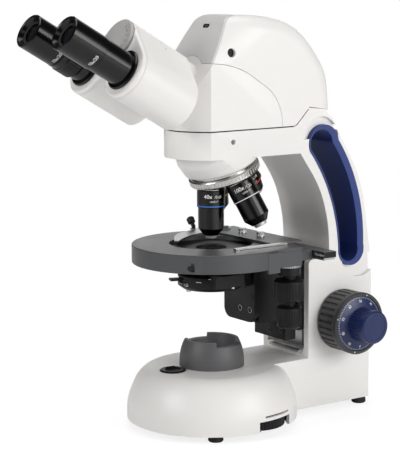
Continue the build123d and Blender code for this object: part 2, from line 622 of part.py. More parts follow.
def tube(top):
    """Collar on the housing and the tube up to the eyepiece."""
    low = HOUSING_LENGTH
    body = turned((TUBE_R - 3, low - 8), (TUBE_R - 2 - SEAT, low - 8), (TUBE_R - 2 - SEAT, low), (COLLAR_R - 0.8, low),
                  (COLLAR_R, low + 0.8), (COLLAR_R, low + COLLAR_THICK - 0.8), (COLLAR_R - 0.8, low + COLLAR_THICK),
                  (TUBE_R, low + COLLAR_THICK), (TUBE_R, top), (TUBE_R - 3, top))
    return body


def binocular():
    frame = head_frame()
    right, left = housing_pair()
    put("prism_housing_right", frame * right)
    put("prism_housing_left", frame * left)
    hub = cylinder(HUB_R, -FRONT_BACK - 4, HOUSING_LENGTH + 0.3)
    put("hinge_hub", frame * hub)
    disc = turned((0, HOUSING_LENGTH + 0.3), (KNUCKLE_R, HOUSING_LENGTH + 0.3), (KNUCKLE_R, HOUSING_LENGTH + 2.2),
                  (KNUCKLE_R - 0.8, HOUSING_LENGTH + 2.8), (0, HOUSING_LENGTH + 2.8))
    put("spacing_disc", frame * disc)
    eye_low = EYEPIECE_END - EYEPIECE_LENGTH
    barrel, lens = eyepiece(EYEPIECE_LENGTH)
    right_place = frame * Pos(tube_half, -TUBE_DROP, 0)
    put("eye_tube_right", right_place * tube(eye_low))
    put("eyepiece_right", right_place * Pos(0, 0, EYEPIECE_END) * barrel)
    put("eye_lens_right", right_place * Pos(0, 0, EYEPIECE_END) * lens)

    left_place = frame * Pos(-tube_half, -TUBE_DROP, 0)
    left_low = EYEPIECE_END - EYEPIECE_LENGTH + 1.5
    barrel, lens = eyepiece(EYEPIECE_LENGTH - 1.5)
    ring_low = left_low - DIOPTER_LENGTH
    sleeve = turned((TUBE_R - 3, ring_low), (TUBE_R - 1, ring_low), (TUBE_R - 1, left_low), (TUBE_R - 3, left_low))
    put("eye_tube_left", left_place * (tube(ring_low) + sleeve))
    ring = turned((TUBE_R - 1 + FIT, ring_low + FIT), (TUBE_R, ring_low + FIT), (DIOPTER_R, ring_low + 2.4),
                  (DIOPTER_R, left_low - 6), (DIOPTER_R - 0.9, left_low - 5), (DIOPTER_R - 0.9, left_low - FIT),
                  (TUBE_R - 1 + FIT, left_low - FIT))
    ring -= ribs(36, DIOPTER_R + 0.4, 0.8, ring_low + 3.4, left_low - 7)
    put("diopter_ring", left_place * ring)
    put("eyepiece_left", left_place * Pos(0, 0, EYEPIECE_END) * barrel)
    put("eye_lens_left", left_place * Pos(0, 0, EYEPIECE_END) * lens)


# Head base and camera housing

def quarter_outline():
    """Side view of the head base: a rounded quarter, carried on below the head seam, in (y, z)."""
    low, foot = HEAD_SEAM + SEAM, HEAD_SEAM - 5
    edge = Spline((50.8, low), (48.0, 267.7), (41.0, 279.8), (28.9, 289.0), (12.7, 299.0), (-3.5, 304.6), (-26.4, 306.8))
    return make_face(edge + Polyline((-26.4, 306.8), (-80, 306.8), (-80, foot), (50.8, foot), (50.8, low)))


def housing_outline():
    """Side view of the camera housing, in (y, z)."""
    low = HEAD_SEAM + SEAM
    crown = Spline((14.0, HEAD_TOP), (43.0, 343.2), (70.0, 334.4), (95.6, 308.0), (106.6, 266.0),
                   tangents=[(1, 0), (0.05, -1)])
    rest = Polyline((106.6, 266.0), (106.2, 262.9), (98.0, 264.4), (79.8, 267.4), (66.6, 254.2), (62.9, low),
                    (-34.0, low), (-34.0, 307.0), (-12.0, HEAD_TOP), (14.0, HEAD_TOP))
    return make_face(crown + rest)


def in_front(depth):
    """Everything in front of the slanted front of the head, whose top is rounded back into the crown."""
    tilt = radians(TUBE_TILT)
    corner_y = HINGE_Y + FRONT_BACK / cos(tilt) + (HEAD_TOP - HINGE_Z) * tan(tilt)
    run = FRONT_ROUND * tan((radians(90) - tilt) / 2)
    start = (corner_y - run * sin(tilt), HEAD_TOP - run * cos(tilt))
    end = (corner_y + run, HEAD_TOP)
    foot_z = HEAD_SEAM - 40
    foot = (corner_y - (HEAD_TOP - foot_z) * tan(tilt), foot_z)
    edge = Line(foot, start) + TangentArc(start, end, tangent=(sin(tilt), cos(tilt)))
    face = make_face(edge + Polyline(end, (end[0], HEAD_TOP + 20), (foot[0] - 20, HEAD_TOP + 20), (foot[0] - 20, foot_z),
                                     foot))
    return Pos(0, depth * cos(tilt), -depth * sin(tilt)) * side_plate(face, SIDE + 10)


def drawn_in():
    """What the camera housing loses where its sides draw in towards the top of the front."""
    reach = 75.0
    depth = NARROW_R - (NARROW_R ** 2 - reach ** 2) ** 0.5
    start = (SIDE, 0)
    mid = (SIDE - NARROW_R + (NARROW_R ** 2 - (reach / 2) ** 2) ** 0.5, -reach / 2)
    end = (SIDE - depth, -reach)
    face = make_face(ThreePointArc(start, mid, end) + Polyline(end, (SIDE + 10, -reach), (SIDE + 10, 0), start))
    tool = extrude(Pos(0, -23.0, 290.0) * face, 120, dir=(0, NARROW_SLOPE, 1))
    return both_sides(tool)


def on_crown(edge):
    """True for the long side edges over the top and down the back of the camera housing."""
    place = edge.center()
    high = min((edge @ 0).Z, (edge @ 1).Z) > 265.5
    return high and abs(place.X) > 8 and (place.Z > 330 or place.Y > 60)


def shadow_gap():
    """The open line round the foot of the head, cut back from its outline."""
    height, depth = SHADOW_GAP
    ring = stand_plan(SIDE + 1, NOSE_R + 1) - stand_plan(SIDE - depth, NOSE_R - depth)
    return extrude(Pos(0, 0, HEAD_SEAM + SEAM - 0.1) * ring, height + 0.1)


def port():
    """The shallow window of the indicator in the slanted front."""
    x, z = PORT
    width, height, depth = PORT_SIZE
    tilt = radians(TUBE_TILT)
    face_y = HINGE_Y + FRONT_BACK / cos(tilt) + (z - HINGE_Z) * tan(tilt)
    slot = SlotOverall(width, height, align=(Align.CENTER, Align.CENTER))
    return Pos(x, face_y, z) * Rot(X=90 - TUBE_TILT) * extrude(slot, depth, both=True)


def head():
    plan = extrude(Pos(0, 0, HEAD_SEAM + SEAM) * stand_plan(SIDE, NOSE_R), 120)
    neck = cylinder(NECK_R, -FRONT_BACK - 2, -SEAM)
    flange = cylinder(FLANGE_R, -FRONT_BACK - 14, -FRONT_BACK)
    lower = (side_plate(quarter_outline(), SIDE) & plan) - in_front(0)
    lower += head_frame() * (neck + flange)
    lower -= head_frame() * cylinder(HUB_R + SEAT, -FRONT_BACK - 4, 1)
    lower -= shadow_gap()
    put("head_base", lower)

    cover = side_plate(housing_outline(), SIDE) - drawn_in()
    cover = fillet(cover.edges().filter_by(on_crown), HEAD_ROUND)
    cover -= Pos(0, SEAM, SEAM) * side_plate(quarter_outline(), SIDE + 5)
    cover -= in_front(0)
    cover -= head_frame() * cylinder(FLANGE_R + SEAM, -60, 10)
    cover -= shadow_gap()
    sink = Pos(0, *HOUSING_SCREW) * along_x(cylinder(SINK_R, SIDE - 6, SIDE + 2))
    cover -= both_sides(sink)
    cover -= port()
    put("camera_housing", cover - in_front(COVER_THICK + COVER_GAP))
    put("front_cover", cover & in_front(COVER_THICK))


# Stage, carriage and slide holder

def stage():
    low = STAGE_TOP - STAGE_THICK
    layer = STAGE_TOP - COVER_LAYER
    inner, outer = CARRIAGE_X[0] - SEAM, CARRIAGE_X[1] + SEAM
    plate = cylinder(STAGE_R, low, STAGE_TOP)
    plate = chamfer(plate.edges().filter_by(GeomType.CIRCLE), 0.5)
    plate -= block((-90, 90), (STAGE_REAR, 90), (low - 1, STAGE_TOP + 1))
    pocket_front = CARRIAGE_Y[0] - CARRIAGE_TRAVEL - 0.5
    plate -= block((inner, outer), (pocket_front, 90), (low - 1, layer))
    plate += block((inner - 2, CARRIAGE_X[1]), (20, CARRIAGE_Y[1]), (layer, STAGE_TOP))
    plate += block((outer, outer + 2.2), (10.6, 22.3), (low - 3.2, STAGE_TOP - 2))
    plate -= block((inner - TONGUE_REACH - FIT, inner + 1), (TONGUE_Y[0] - CARRIAGE_TRAVEL - 0.5, 90),
                   (TONGUE_Z[0] - FIT, TONGUE_Z[1] + FIT))
    plate -= cylinder(STAGE_HOLE_R, low - 1, STAGE_TOP + 1)
    line = cylinder(STAGE_R + 1, RIM_LINE_Z, RIM_LINE_Z + 0.6) - cylinder(STAGE_R - RIM_LINE_DEPTH, 0, 200)
    plate -= line & (wedge(NOTCH_TURN - 75, 150, 0, 200) + wedge(NOTCH_TURN - 200, 110, 0, 200))
    plate -= Rot(Z=NOTCH_TURN) * block((STAGE_R - 2, STAGE_R + 2), (-1.7, 1.7), (low + 2, RIM_LINE_Z + 0.6))
    put("stage_plate", plate)
    top = STAGE_TOP - INSERT_DROP
    insert = turned((LIGHT_HOLE_R, top - 3), (STAGE_HOLE_R - SEAT, top - 3), (STAGE_HOLE_R - SEAT, top),
                    (LIGHT_HOLE_R + 4, top), (LIGHT_HOLE_R, top - 1))
    put("stage_insert", insert)


def carriage():
    low = STAGE_TOP - STAGE_THICK
    top = STAGE_TOP - COVER_LAYER - FIT
    wing = block(CARRIAGE_X, CARRIAGE_Y, (low, top))
    wing += block((CARRIAGE_X[0], CARRIAGE_X[1] - 4), (CARRIAGE_Y[1], BAR_Y[0]), (low + 3, BAR_TOP))
    wing += block((CARRIAGE_X[0] - SEAM - TONGUE_REACH, CARRIAGE_X[0]), TONGUE_Y, TONGUE_Z)
    wing += cylinder(9.5, Y_KNOB[2] + 4, low, KNOB_X, KNOB_Y)
    wing -= cylinder(SHAFT_R + FIT, Y_KNOB[2] + 2, low + 8, KNOB_X, KNOB_Y)
    put("carriage_plate", wing)
    bar = block(BAR_X, BAR_Y, (BAR_TOP - BAR_THICK, BAR_TOP))
    put("cross_bar", bar)


def slide_holder():
    low = STAGE_TOP + SEAM
    top = low + HOLDER_THICK
    rack_low = BAR_TOP - BAR_THICK - FIT - 2
    rear = BAR_Y[1] + FIT
    plate = block((HOLDER_X[0], HOLDER_X[1] - 4), HOLDER_Y, (low, top))
    plate += block((HOLDER_X[1] - 4, HOLDER_X[1]), (-9, 44), (low, top))
    rider = block((-24, 14), (BAR_Y[0], rear + 2), (BAR_TOP + FIT, BAR_TOP + 2.4))
    rider += block((-24, 14), (rear, rear + 2), (rack_low, BAR_TOP + 2.4))
    plate += rider + block((-24, 14), (BAR_Y[0], HOLDER_Y[1]), (BAR_TOP + FIT, top))
    for x in CLAMP_SCREWS:
        plate -= cylinder(1.5 + SEAT, low - 1, top + 1, x, CLAMP_SCREW_Y)
    plate += cylinder(1.5, top, top + 1.4, *FINGER_PIVOT) + cylinder(2.8, top + 1.3, top + 2.8, *FINGER_PIVOT)
    put("slide_holder", plate)
    put("cross_rack", block((-46, 74), (BAR_Y[0] + 1, rear), (rack_low, rack_low + 2)))
    screw = cylinder(1.5, -HOLDER_THICK, 0) + cylinder(3.4, 0, 4.2)
    screw -= ribs(20, 3.6, 0.4, 0.5, 5)
    put("thumb_screws", solids_of(*[Pos(x, CLAMP_SCREW_Y, top) * screw for x in CLAMP_SCREWS]))


def holder_finger():
    """The curved sprung finger that would hold a slide, turned by a small knob on its outer side."""
    low = STAGE_TOP + SEAM + HOLDER_THICK
    px, py = FINGER_PIVOT
    outer = Spline((-11.0, -30.0), (-27.3, -19.0), (-41.8, -4.7), (-48.6, 9.1), (-51.3, 23.0), (px - 4.4, py))
    inner = Spline((px + 4.4, py), (-34.6, 22.0), (-30.4, 6.0), (-23.3, -8.2), (-8.0, -27.6))
    blade = make_face(outer + Line((px - 4.4, py), (px + 4.4, py)) + inner + Line((-8.0, -27.6), (-11.0, -30.0)))
    finger = extrude(Pos(0, 0, low) * blade, FINGER_THICK) + cylinder(4.4, low, low + FINGER_THICK, px, py)
    kx, ky = FINGER_KNOB
    finger += block((kx, -46.0), (ky - 3, ky + 3), (low, low + FINGER_THICK))
    finger += cylinder(3.0, low, low + FINGER_THICK, kx, ky)
    finger -= cylinder(1.5 + FIT, low - 1, low + 3, px, py)
    put("holder_finger", finger)
    knob = turned((0, 0), (1.8, 0), (1.8, 2.6), (3.3, 3.8), (3.5, 8.0), (2.6, 9.0), (0, 9.0))
    foot = cylinder(1.8, 0, 2.4)
    put("finger_knob", Pos(kx, ky, low + FINGER_THICK) * (foot + Pos(0, 0, 1.6) * Rot(Y=-FINGER_KNOB_LEAN) * knob))


def stage_knobs():
    """The upper knob is hollow and the shaft of the lower one runs through it."""
    y_r, y_low, y_high = Y_KNOB
    x_r, x_low, x_high = X_KNOB
    upper = ribbed_knob(y_r, y_low, y_high) + cylinder(5.0, y_high, y_high + 4 - FIT)
    upper -= cylinder(SHAFT_R + FIT, y_low - 1, y_high + 5)
    lower = ribbed_knob(x_r, x_low, x_high) + cylinder(4.6, x_high, y_low - FIT)
    lower += cylinder(SHAFT_R, x_high, STAGE_TOP - STAGE_THICK + 7)
    for name, knob in (("y_knob", upper), ("x_knob", lower)):
        put(name, Pos(KNOB_X, KNOB_Y, 0) * knob)


def ribbed_knob(radius, low, high):
    knob = turned((0, low), (radius - 1.2, low), (radius, low + 1.2), (radius, high - 1.2), (radius - 1.2, high),
                  (0, high))
    return knob - ribs(28, radius + 0.3, 0.75, low + 3.0, high - 3.0)


# Substage

def substage():
    back = COLUMN_FRONT + SLOT_DEPTH
    low = STAGE_TOP - STAGE_THICK
    slide = block((-SLOT_HALF + 0.6, SLOT_HALF - 0.6), (SLIDE_FRONT, back - 3 - FIT), (CARRIER_Z[0] - 11, low))
    slide -= block((-13 - FIT, 13 + FIT), (back - 6 - FIT, back), (60, 200))
    put("focus_slide", slide)
    step = CARRIER_Z[0] - 0.5
    foot = step - BRACKET_FOOT
    outline = Polyline((SLIDE_FRONT, foot), (BRACKET_STEP, foot), (BRACKET_STEP, step), (BRACKET_FRONT, step),
                       (BRACKET_FRONT, low), (SLIDE_FRONT, low), close=True)
    bracket = side_plate(make_face(outline), BRACKET_HALF)
    bracket += both_sides(block(RAILS_X, (RAIL_FRONT, BRACKET_FRONT), (step, CARRIER_Z[1])))
    bracket -= Pos(-BRACKET_HALF, *LIFT_KNOB) * along_x(Cylinder(SHAFT_R + FIT, 20))
    put("stage_bracket", bracket)
    knob = ribbed_knob(LIFT_KNOB_R, 1.0, 15.0) + cylinder(SHAFT_R, -9.5, 2)
    put("condenser_knob", Pos(-BRACKET_HALF, *LIFT_KNOB) * Rot(Y=-90) * knob)


def condenser():
    low, high = CARRIER_Z
    left, right = RAILS_X
    back = CARRIER_FRONT + CARRIER_THICK
    plate = block((-BRACKET_HALF, BRACKET_HALF), (CARRIER_FRONT, back), (low, high))
    corners = plate.edges().filter_by(Axis.Y).group_by(Axis.Z)[0]
    carrier = fillet(corners, CARRIER_ROUND) + block((-right - 2, right + 2), (14, back), (CONDENSER_BOTTOM, high))
    carrier -= cylinder(CONDENSER_R + SEAT, low - 1, high + 1)
    slot = block((left - FIT, right + FIT), (RAIL_FRONT - FIT, back + 1), (low - 1, high + 1))
    put("condenser_carrier", carrier - both_sides(slot))

    r, lens_r = CONDENSER_R, CONDENSER_LENS_R
    low, high = CONDENSER_BOTTOM, CONDENSER_TOP
    body = turned((lens_r - 1.5, low), (r - 4, low), (r, low + 3), (r, IRIS_Z[1] + 2), (lens_r + 4, high),
                  (lens_r, high), (lens_r, high - 5), (lens_r - 1.5, high - 5))
    body += block((18, 30), (-16.5, 12.7), (low + 4, IRIS_Z[1] + 4))
    room = r - IRIS_WALL
    body -= cylinder(room, *IRIS_Z) - cylinder(IRIS_R, *IRIS_Z)
    slot_span = 2 * (IRIS_SWING + 9.5)
    body -= (cylinder(r + 4, *IRIS_Z) - cylinder(room - 1, *IRIS_Z)) & wedge(IRIS_TURN, slot_span, *IRIS_Z)
    put("condenser_body", body)
    cap_r = 20.0
    cap = Pos(0, 0, high + 0.9 - cap_r) * Sphere(cap_r) & cylinder(lens_r - SEAT, high - 3, high + 2)
    put("condenser_lens", cylinder(lens_r - SEAT, high - 5, high - 2) + cap)

    inner, bottom, top = IRIS_R + FIT, IRIS_Z[0] + FIT, IRIS_Z[1] - FIT
    iris = turned((inner, bottom), (room - FIT, bottom), (room - FIT, top), (inner, top))
    iris += block((room - 1, r + 7.6), (-4, 4), (bottom + 1.1, top - 1.1))
    put("iris_ring", Rot(Z=IRIS_TURN) * iris)


def build_all():
    base()
    power_switch()
    brightness_control()
    lamp()
    arm()
    handle_lining()
    column_details()
    focus_knobs()
    nosepiece()
    objectives()
    binocular()
    head()
    stage()
    carriage()
    slide_holder()
    holder_finger()
    stage_knobs()
    substage()
    condenser()


build_all()
os.makedirs("parts", exist_ok=True)
for name, shape in nodes.items():
    export_step(shape, "parts/" + name + ".step")
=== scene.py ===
# %% [markdown]
# # A digital microscope, dressed for its picture
#
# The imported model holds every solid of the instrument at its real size. This notebook gives those solids
# their finishes, adds the small things that a solid model leaves out, such as engraved rings, dial figures,
# screws and seams, and sets them in a plain pale studio. Nothing here moves or resizes the instrument.

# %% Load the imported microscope
import json
import math
import bmesh
import bpy
import numpy as np
from mathutils import Matrix, Vector

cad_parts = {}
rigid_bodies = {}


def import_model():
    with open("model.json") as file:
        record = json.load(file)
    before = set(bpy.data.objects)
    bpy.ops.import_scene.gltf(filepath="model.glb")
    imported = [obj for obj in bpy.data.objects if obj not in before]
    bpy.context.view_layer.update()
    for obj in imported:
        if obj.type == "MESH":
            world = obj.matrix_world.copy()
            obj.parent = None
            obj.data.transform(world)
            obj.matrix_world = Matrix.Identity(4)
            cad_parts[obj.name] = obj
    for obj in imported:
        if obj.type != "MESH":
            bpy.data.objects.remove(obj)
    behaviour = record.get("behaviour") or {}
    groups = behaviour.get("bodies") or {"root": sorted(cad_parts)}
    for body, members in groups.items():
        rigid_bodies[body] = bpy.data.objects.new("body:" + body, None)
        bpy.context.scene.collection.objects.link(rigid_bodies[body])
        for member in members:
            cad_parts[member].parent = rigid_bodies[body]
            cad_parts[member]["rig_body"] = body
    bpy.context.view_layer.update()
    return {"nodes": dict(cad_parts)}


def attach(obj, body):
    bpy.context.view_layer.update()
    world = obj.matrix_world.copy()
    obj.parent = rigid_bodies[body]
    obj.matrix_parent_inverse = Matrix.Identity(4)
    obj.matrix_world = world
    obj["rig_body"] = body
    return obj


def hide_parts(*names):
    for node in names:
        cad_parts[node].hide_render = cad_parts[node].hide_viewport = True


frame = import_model()
nodes = frame["nodes"]
MM = 0.001

# %% [markdown]
# ## Colours and nodes
#
# A colour picker shows sRGB, but a shader adds up light, which is linear. One function turns a hex colour
# into linear numbers, and one more adds a node, sets it and joins it, so that a material reads as a short
# list of what the light meets.


# %% Two small helpers for materials
def linear(code):
    """The linear RGBA of an sRGB hex colour: each channel is divided by 12.92 when dark, or bent by 2.4."""
    parts = np.array([int(code[i:i + 2], 16) for i in (1, 3, 5)]) / 255
    bent = np.where(parts <= 0.04045, parts / 12.92, ((parts + 0.055) / 1.055) ** 2.4)
    return (*bent.tolist(), 1.0)


def add(tree, kind, inputs=None, **properties):
    """Adds one node; an input is a plain value or the output socket that feeds it."""
    made = tree.nodes.new("ShaderNode" + kind)
    for name, value in properties.items():
        setattr(made, name, value)
    for name, value in (inputs or {}).items():
        if isinstance(value, bpy.types.NodeSocket):
            tree.links.new(value, made.inputs[name])
        else:
            made.inputs[name].default_value = value
    return made


def surface(name, colour, roughness, grain=None, relief=0.0, mottle=0.04, gloss_play=0.06, metallic=0.0,
            **sockets):
    """A finish with a fine grain, in millimetres like its relief, and slight changes of tone and gloss."""
    material = bpy.data.materials.new(name)
    material.use_nodes = True
    tree = material.node_tree
    shader = tree.nodes["Principled BSDF"]
    place = add(tree, "TexCoord").outputs["Object"]
    broad = add(tree, "TexNoise", {"Vector": place, "Scale": 28.0, "Detail": 3.0})
    tone = linear(colour)
    dark = (*[c * (1 - mottle) for c in tone[:3]], 1.0)
    blend = add(tree, "Mix", {"Factor": broad.outputs["Fac"], "A": dark, "B": tone}, data_type="RGBA")
    tree.links.new(blend.outputs["Result"], shader.inputs["Base Color"])
    low, high = max(roughness - gloss_play, 0.02), roughness + gloss_play
    gloss = add(tree, "MapRange", {"Value": broad.outputs["Fac"], "To Min": low, "To Max": high})
    tree.links.new(gloss.outputs["Result"], shader.inputs["Roughness"])
    if grain:
        fine = add(tree, "TexNoise", {"Vector": place, "Scale": 1000.0 / grain, "Detail": 2.0})
        bump = add(tree, "Bump", {"Height": fine.outputs["Fac"], "Distance": relief * MM, "Strength": 1.0})
        tree.links.new(bump.outputs["Normal"], shader.inputs["Normal"])
    shader.inputs["Metallic"].default_value = metallic
    for socket, value in sockets.items():
        shader.inputs[socket.replace("_", " ")].default_value = value
    return material


# %% [markdown]
# ## Finishes
#
# The body of a laboratory stand is an aluminium casting under satin powder coat, which shows a very fine
# orange peel and wide soft highlights. The stage wears a darker texture paint, the optics are turned from
# aluminium and anodised black, the knobs are moulded, and only the nosepiece, the rails, the tips and
# the small screws are bare bright metal. Grain is given in millimetres of the real surface.

# %% Paints, plastics, metals and glass
powder_coat = surface("satin_powder_coat_white", "#ECEAE7", 0.38, grain=0.7, relief=0.018, mottle=0.015)
cover_grey = surface("moulded_abs_light_grey", "#CFCECD", 0.42, grain=0.7, relief=0.008, mottle=0.02)
# the spacing disc is the light grey plastic of the front cover, made darker to paint the shade that falls on
# it
light_grey_painted_shade = surface("light_grey_abs_painted_shade", "#B2B1B0", 0.42, grain=0.7, relief=0.008, mottle=0.02)
stage_paint = surface("texture_paint_dark_grey", "#4A4B4D", 0.36, grain=0.7, relief=0.03, mottle=0.06)
lamp_abs = surface("moulded_abs_dark_grey", "#5A5A5C", 0.50, grain=0.6, relief=0.02, mottle=0.05)
anodised = surface("anodised_aluminium_black", "#050506", 0.21, grain=0.4, relief=0.004, mottle=0.2,
                   Specular_IOR_Level=0.42)
matt_black = surface("matt_black_enamel", "#0D0D0E", 0.44, grain=0.6, relief=0.012, mottle=0.1,
                     Specular_IOR_Level=0.3)
knob_black = surface("moulded_abs_black", "#39393B", 0.44, grain=0.6, relief=0.014, mottle=0.08)
knob_navy = surface("moulded_abs_navy", "#152556", 0.38, grain=0.6, relief=0.008, mottle=0.06)
grip_navy = surface("soft_elastomer_navy", "#243A7C", 0.55, grain=0.5, relief=0.02, mottle=0.08)
nickel = surface("nickel_plated_brass", "#C8C7C4", 0.24, grain=0.5, relief=0.006, metallic=1.0)
bright_tip = surface("polished_nickel", "#E6E5E2", 0.30, metallic=0.55)
steel = surface("ground_stainless_steel", "#B9BABC", 0.32, grain=0.3, relief=0.006, metallic=1.0)
zinc_sheet = surface("painted_sheet_steel", "#6D6E70", 0.5, grain=0.8, relief=0.01)
board_green = surface("glass_epoxy_board", "#1C4A33", 0.4)
plain_aluminium = surface("plain_turned_aluminium", "#B4B5B7", 0.35, metallic=1.0)
neoprene = surface("neoprene_black", "#1B1B1B", 0.75, grain=0.4, relief=0.03)
print_white = surface("pad_print_white", "#E9E8E4", 0.5, mottle=0.03)
print_grey = surface("pad_print_dark_grey", "#4A4A4C", 0.5)
print_blue = surface("pad_print_blue", "#2B6FC4", 0.45)
print_red = surface("pad_print_red", "#C23A32", 0.45)
print_yellow = surface("pad_print_yellow", "#D9B23A", 0.45)
# black that paints the shade in holes, sockets, grooves, the rack's teeth, the seam under the head and the
# eyepiece stops
painted_recess_shade = surface("painted_recess_shade_black", "#070707", 0.7)
# a smoked window whose dark also paints the shade inside the port's recess
smoke_and_port_shade = surface("smoked_acrylic_and_port_shade", "#222224", 0.12)


def glass(name, colour, roughness, through):
    """Optical or frosted glass: the light goes through it as far as the share given."""
    material = surface(name, colour, roughness, mottle=0.01, gloss_play=0.01)
    shader = material.node_tree.nodes["Principled BSDF"]
    shader.inputs["Transmission Weight"].default_value = through
    shader.inputs["IOR"].default_value = 1.52
    return material


crown_glass = glass("coated_crown_glass", "#E6E4EF", 0.03, 1.0)
# the eye lenses let no light through: their near-black paints the shade of the dark tube behind the glass
eye_lens_painted_shade = glass("eye_lens_painted_tube_shade", "#121218", 0.05, 0.0)
frosted = glass("frosted_glass", "#AEB4B8", 0.30, 0.55)

# %% Which node wears which finish
WEARS = {
    powder_coat: "arm base_shell head_base camera_housing prism_housing_left prism_housing_right",
    cover_grey: "front_cover",
    light_grey_painted_shade: "spacing_disc",
    stage_paint: "stage_plate carriage_plate cross_bar slide_holder",
    lamp_abs: "lamp_house",
    anodised: "eye_tube_left eye_tube_right eyepiece_left eyepiece_right diopter_ring "
              "objective_40 objective_100 objective_4 objective_10",
    matt_black: "stage_insert stage_bracket focus_slide condenser_carrier condenser_body iris_ring "
                "switch_bezel switch_rocker power_inlet brightness_wheel head_clamp_screw "
                "x_knob y_knob condenser_knob finger_knob",
    knob_black: "coarse_knob_left coarse_knob_right",
    knob_navy: "fine_knob_left fine_knob_right",
    grip_navy: "handle_lining",
    nickel: "nosepiece_ring thumb_screws nosepiece_seat",
    bright_tip: "objective_tips",
    steel: "focus_rail coarse_tube fine_shaft hinge_hub cross_rack holder_finger",
    zinc_sheet: "base_plate",
    board_green: "power_board",
    plain_aluminium: "lamp_module",
    neoprene: "rubber_feet",
    crown_glass: "condenser_lens",
    eye_lens_painted_shade: "eye_lens_left eye_lens_right",
    frosted: "lamp_lens",
}
for material, names in WEARS.items():
    for name in names.split():
        mesh = nodes[name].data
        mesh.materials.clear()
        mesh.materials.append(material)
print("finished nodes", sum(len(v.split()) for v in WEARS.values()), "of", len(nodes))

# %% [markdown]
# ## Shapes in millimetres
#
# Every added piece is made from a list of points and faces in millimetres, in the frame of the part that
# carries it. `lathe` turns an outline, `box` makes a block, and `words`, `strip` and `dot` make flat print,
# which `wrapped` lays on a cylinder, a cone or a disc.

# %% Frames of the carrying parts, from the same dimensions as the solid model


def at(x=0.0, y=0.0, z=0.0):
    return Matrix.Translation((x, y, z))


def rolled(degrees, axis):
    return Matrix.Rotation(math.radians(degrees), 4, axis)


OPTICAL = at(0, 6.6, 0)                    # the optical axis, standing on the table
NOSE = OPTICAL @ at(0, 16.35, 206.35) @ rolled(20, "X")
HEAD = OPTICAL @ at(0, -37.55, 296.08) @ rolled(60, "X")
NOSE_PITCH_R = 17.4
TUBE_PLACE = (27.7, -24.8)                 # of the right eyepiece in the frame of the head
VIEW = Vector((0.821, -0.571, 0.0))        # level direction from the instrument to the camera


def objective_place(turn):
    return NOSE @ rolled(turn, "Z") @ at(0, -NOSE_PITCH_R, 0) @ rolled(-20, "X")


def focus_place(side):
    return OPTICAL @ at(0, 114.8, 80.6) @ rolled(90 * side, "Y")


def facing(place):
    """The direction round a frame's own axis that looks at the camera, in degrees."""
    local = place.to_3x3().inverted() @ VIEW
    return math.degrees(math.atan2(local.y, local.x))


# %% Points and faces
def placed(part, place):
    points, faces = part
    points = np.asarray(points, float)
    matrix = np.array(place)
    return points @ matrix[:3, :3].T + matrix[:3, 3], faces


def joined(parts):
    points, faces, start = [], [], 0
    for some_points, some_faces in parts:
        points.append(np.asarray(some_points, float))
        faces += [tuple(i + start for i in face) for face in some_faces]
        start += len(some_points)
    return np.vstack(points), faces


def grid_faces(rows, columns):
    """Faces of a grid of points, row by row."""
    return [(r * columns + c, r * columns + c + 1, (r + 1) * columns + c + 1, (r + 1) * columns + c)
            for r in range(rows - 1) for c in range(columns - 1)]


def lathe(outline, steps=96):
    """Turns a closed outline of (radius, height) about Z."""
    ring = np.array(list(outline) + [outline[0]], float)
    angle = np.linspace(0, 2 * np.pi, steps + 1)
    radius, height = ring[:, 0][:, None], ring[:, 1][:, None]
    points = np.stack([radius * np.cos(angle), radius * np.sin(angle), height + 0 * angle], -1)
    return points.reshape(-1, 3), grid_faces(len(ring), steps + 1)


def box(x, y, z):
    corners = [(a, b, c) for c in z for b in y for a in x]
    return corners, [(0, 2, 3, 1), (4, 5, 7, 6), (0, 1, 5, 4), (2, 6, 7, 3), (0, 4, 6, 2), (1, 3, 7, 5)]


def strip(width, height, pieces=1):
    """A flat rectangle about the origin, cut into upright strips."""
    xs = np.linspace(-width / 2, width / 2, pieces + 1)
    points = [(x, y, 0) for y in (-height / 2, height / 2) for x in xs]
    return points, grid_faces(2, pieces + 1)


def dot(radius, steps=16):
    angle = np.arange(steps) * 2 * np.pi / steps
    return np.stack([radius * np.cos(angle), radius * np.sin(angle), 0 * angle], 1), [tuple(range(steps))]


def words(text, height, bold=0.0, step=0.5):
    """Flat figures of a height in millimetres about the origin, cut into strips so that they can bend."""
    curve = bpy.data.curves.new("figures", "FONT")
    curve.body = text
    curve.align_x = "CENTER"
    curve.offset = bold
    curve.resolution_u = 3
    maker = bpy.data.objects.new("figures", curve)
    mesh = bpy.data.meshes.new_from_object(maker)
    bpy.data.objects.remove(maker)
    bpy.data.curves.remove(curve)
    work = bmesh.new()
    work.from_mesh(mesh)
    bpy.data.meshes.remove(mesh)
    scale = height / FIGURE_HEIGHT
    for vertex in work.verts:
        vertex.co *= scale
        vertex.co.y -= height / 2
    xs = [v.co.x for v in work.verts]
    for x in np.arange(min(xs) + step, max(xs), step):
        everything = work.verts[:] + work.edges[:] + work.faces[:]
        bmesh.ops.bisect_plane(work, geom=everything, plane_co=(x, 0, 0), plane_no=(1, 0, 0))
    work.verts.index_update()
    part = ([tuple(v.co) for v in work.verts], [tuple(v.index for v in f.verts) for f in work.faces])
    work.free()
    return part


FIGURE_HEIGHT = 0.73     # of a figure in the built-in font, for a size of 1
PRINT_LIFT = 0.03        # ink stands this far proud of what it is printed on


def wrapped(flat, start, toward, turn, side=1, lift=PRINT_LIFT):
    """Lays flat print on a turned surface: its y runs from `start` (radius, height) along `toward`."""
    points, faces = flat
    x, y, h = np.asarray(points, float).T
    along = np.array(toward, float) / math.hypot(*toward)
    out = side * np.array([along[1], -along[0]])
    radius = start[0] + along[0] * y + out[0] * (h + lift)
    height = start[1] + along[1] * y + out[1] * (h + lift)
    angle = math.radians(turn) + side * x / start[0]
    return np.stack([radius * np.cos(angle), radius * np.sin(angle), height], 1), faces


